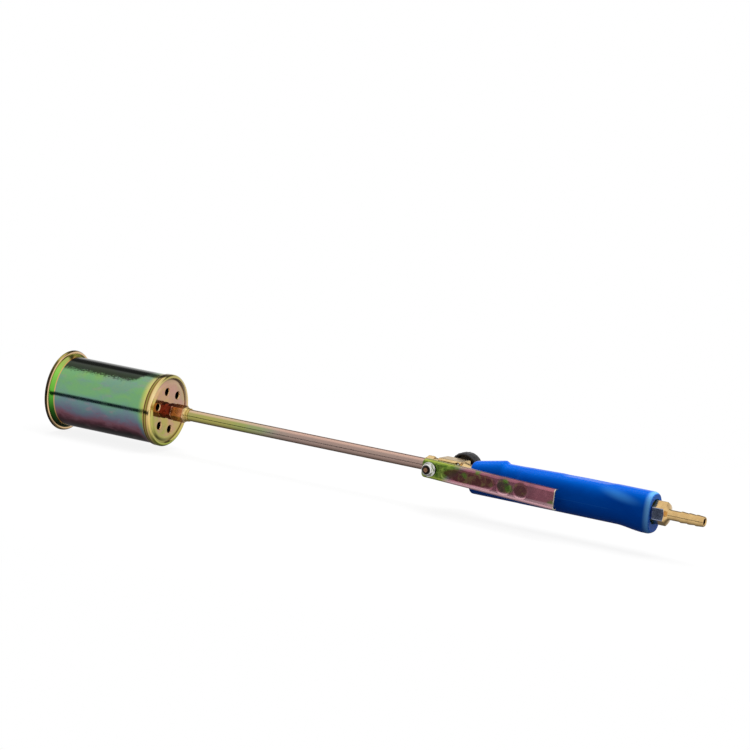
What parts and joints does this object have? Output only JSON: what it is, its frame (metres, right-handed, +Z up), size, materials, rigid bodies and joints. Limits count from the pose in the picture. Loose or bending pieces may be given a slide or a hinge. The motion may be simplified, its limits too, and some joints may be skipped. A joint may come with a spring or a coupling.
{
  "type": "propane torch",
  "caption": "Hand-held propane torch with a flared burner cup, a long gas tube, a brass valve with a black knob, a squeeze lever along a moulded handle and a ridged hose barb.",
  "frame": {"origin": "on the hose barb's axis, at the tip side of its last ridge land", "axes": "+X along the torch's axis from the burner to the hose end, lever on -Y, knob on +Y, +Z up"},
  "size_m": [0.6095, 0.0698, 0.0698],
  "materials": {
    "zinc_shell": "iridescent yellow zinc plating on sheet steel, semi-gloss",
    "zinc_tube": "iridescent yellow zinc plating on steel tube, semi-gloss",
    "zinc_lever": "iridescent zinc plating on pressed steel, semi-gloss",
    "raw_steel": "dull heat-darkened steel",
    "bright_steel": "bright zinc-plated steel",
    "bolt_steel": "yellow-passivated steel",
    "brass": "turned brass",
    "warm_brass": "turned brass with a warm tone from heat",
    "seal_rubber": "matt nitrile rubber",
    "knob_plastic": "moulded black plastic, satin",
    "blue_plastic": "glossy blue moulded plastic"
  },
  "bodies": {
    "torch_body": {"burner_shell": "zinc_shell", "back_plate": "zinc_shell", "plate_washer": "bright_steel", "plate_locknut": "brass", "nozzle_body": "warm_brass", "gas_jet": "brass", "mixer_tube": "raw_steel", "flame_holder": "raw_steel", "gas_tube": "zinc_tube", "front_ferrule": "warm_brass", "rear_ferrule": "brass", "outlet_nut": "brass", "valve_body": "brass", "bypass_ball": "bright_steel", "gland_nut": "brass", "spindle_seal": "seal_rubber", "plunger_gland": "brass", "plunger_spring": "bright_steel", "lever_bolt": "bolt_steel", "lever_washer": "bright_steel", "lever_nut": "bright_steel", "nut_insert": "knob_plastic", "inlet_tube": "brass", "handle": "blue_plastic", "end_washer": "bright_steel", "hose_barb": "brass"},
    "lever_arm": {"lever": "zinc_lever"},
    "valve_plunger": {"plunger": "bright_steel", "plunger_seal": "seal_rubber"},
    "control_knob": {"needle_spindle": "bright_steel", "knob": "knob_plastic", "knob_screw": "bright_steel"}
  },
  "joints": [
    {"name": "lever_hinge", "type": "hinge", "parent": "torch_body", "child": "lever_arm", "pos_m": [-0.2313, -0.019, 0], "axis": [0, 0, 1], "range_deg": [0, 4], "stiffness_Nm_per_rad": 3, "springref_deg": -1.15},
    {"name": "plunger_slide", "type": "slide", "parent": "torch_body", "child": "valve_plunger", "axis": [0, 1, 0], "range_m": [0, 0.00095], "deforming": ["plunger_spring"]},
    {"name": "knob_turn", "type": "hinge", "parent": "torch_body", "child": "control_knob", "pos_m": [-0.2181, 0, 0], "axis": [0, 1, 0], "range_deg": [0, 540]}
  ],
  "couplings": [
    {"joint": "plunger_slide", "follows": "lever_hinge", "m_per_rad": 0.0132}
  ]
}
